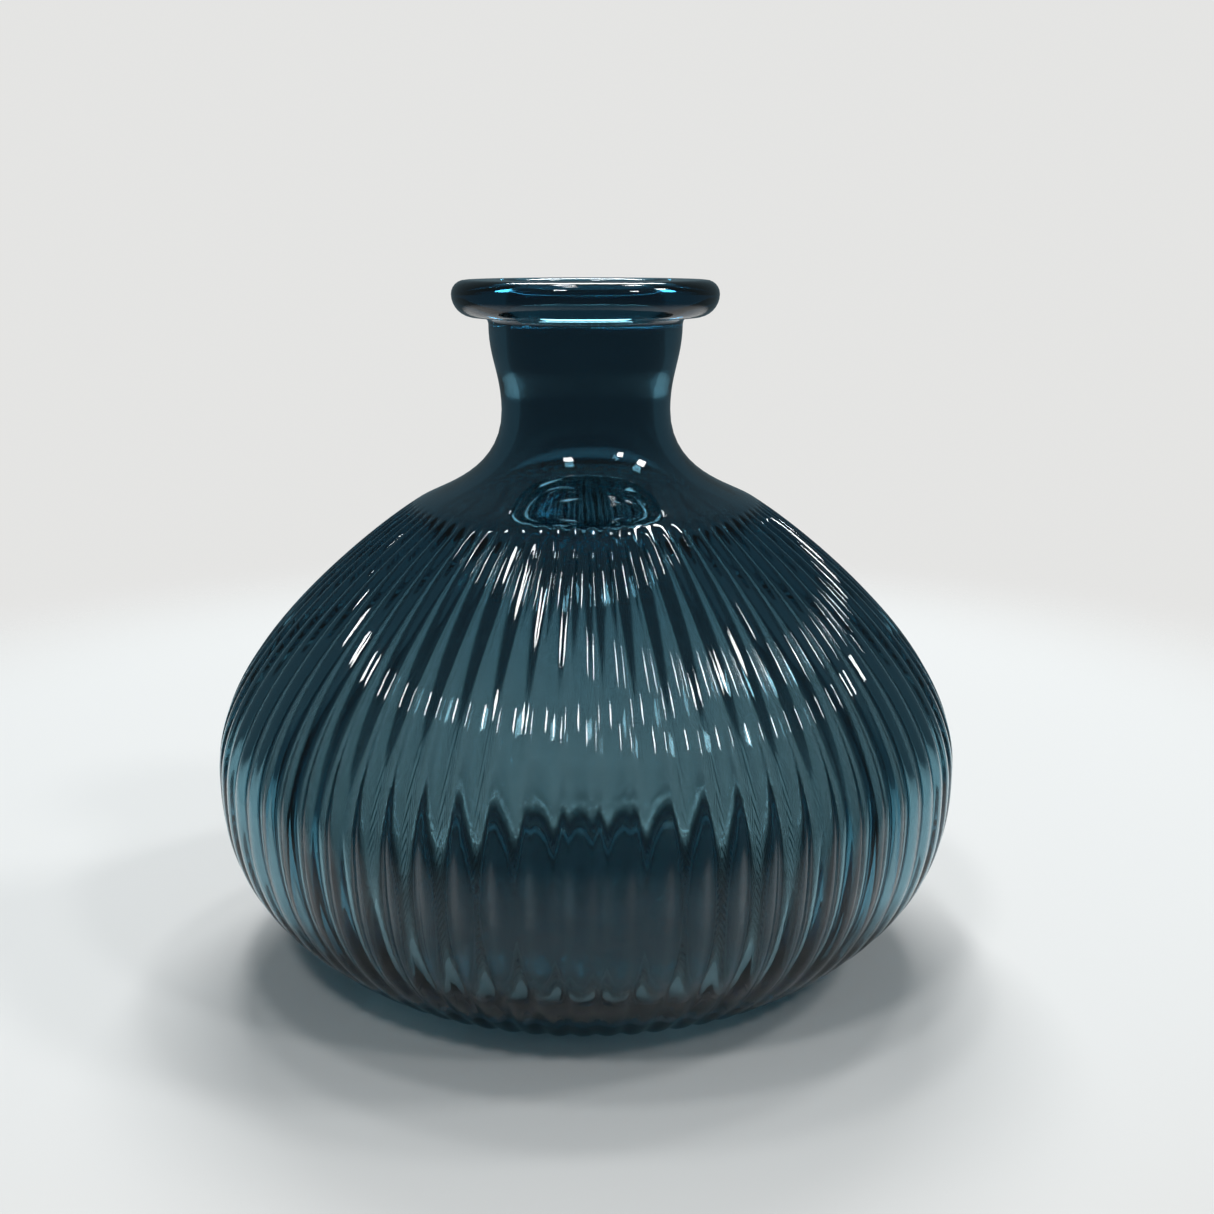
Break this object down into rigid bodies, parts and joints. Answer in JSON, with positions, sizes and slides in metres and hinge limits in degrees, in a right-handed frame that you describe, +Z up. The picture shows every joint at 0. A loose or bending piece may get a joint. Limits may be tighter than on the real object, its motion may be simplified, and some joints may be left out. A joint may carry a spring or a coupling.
{
  "type": "glass bud vase",
  "caption": "Squat ribbed bud vase of dark blue glass with a waisted neck, a rounded lip and a thick base.",
  "frame": {"origin": "middle of the surface that the vase stands on", "axes": "+Z up along the axis of the vase, from the base to the mouth; +X lies along a groove between two ribs"},
  "size_m": [0.11, 0.11, 0.1],
  "materials": {
    "blue_glass": "clear coloured glass, fire polished"
  },
  "bodies": {
    "root": {"base": "blue_glass", "ribbed_body": "blue_glass", "neck": "blue_glass", "lip_ring": "blue_glass"}
  },
  "joints": []
}
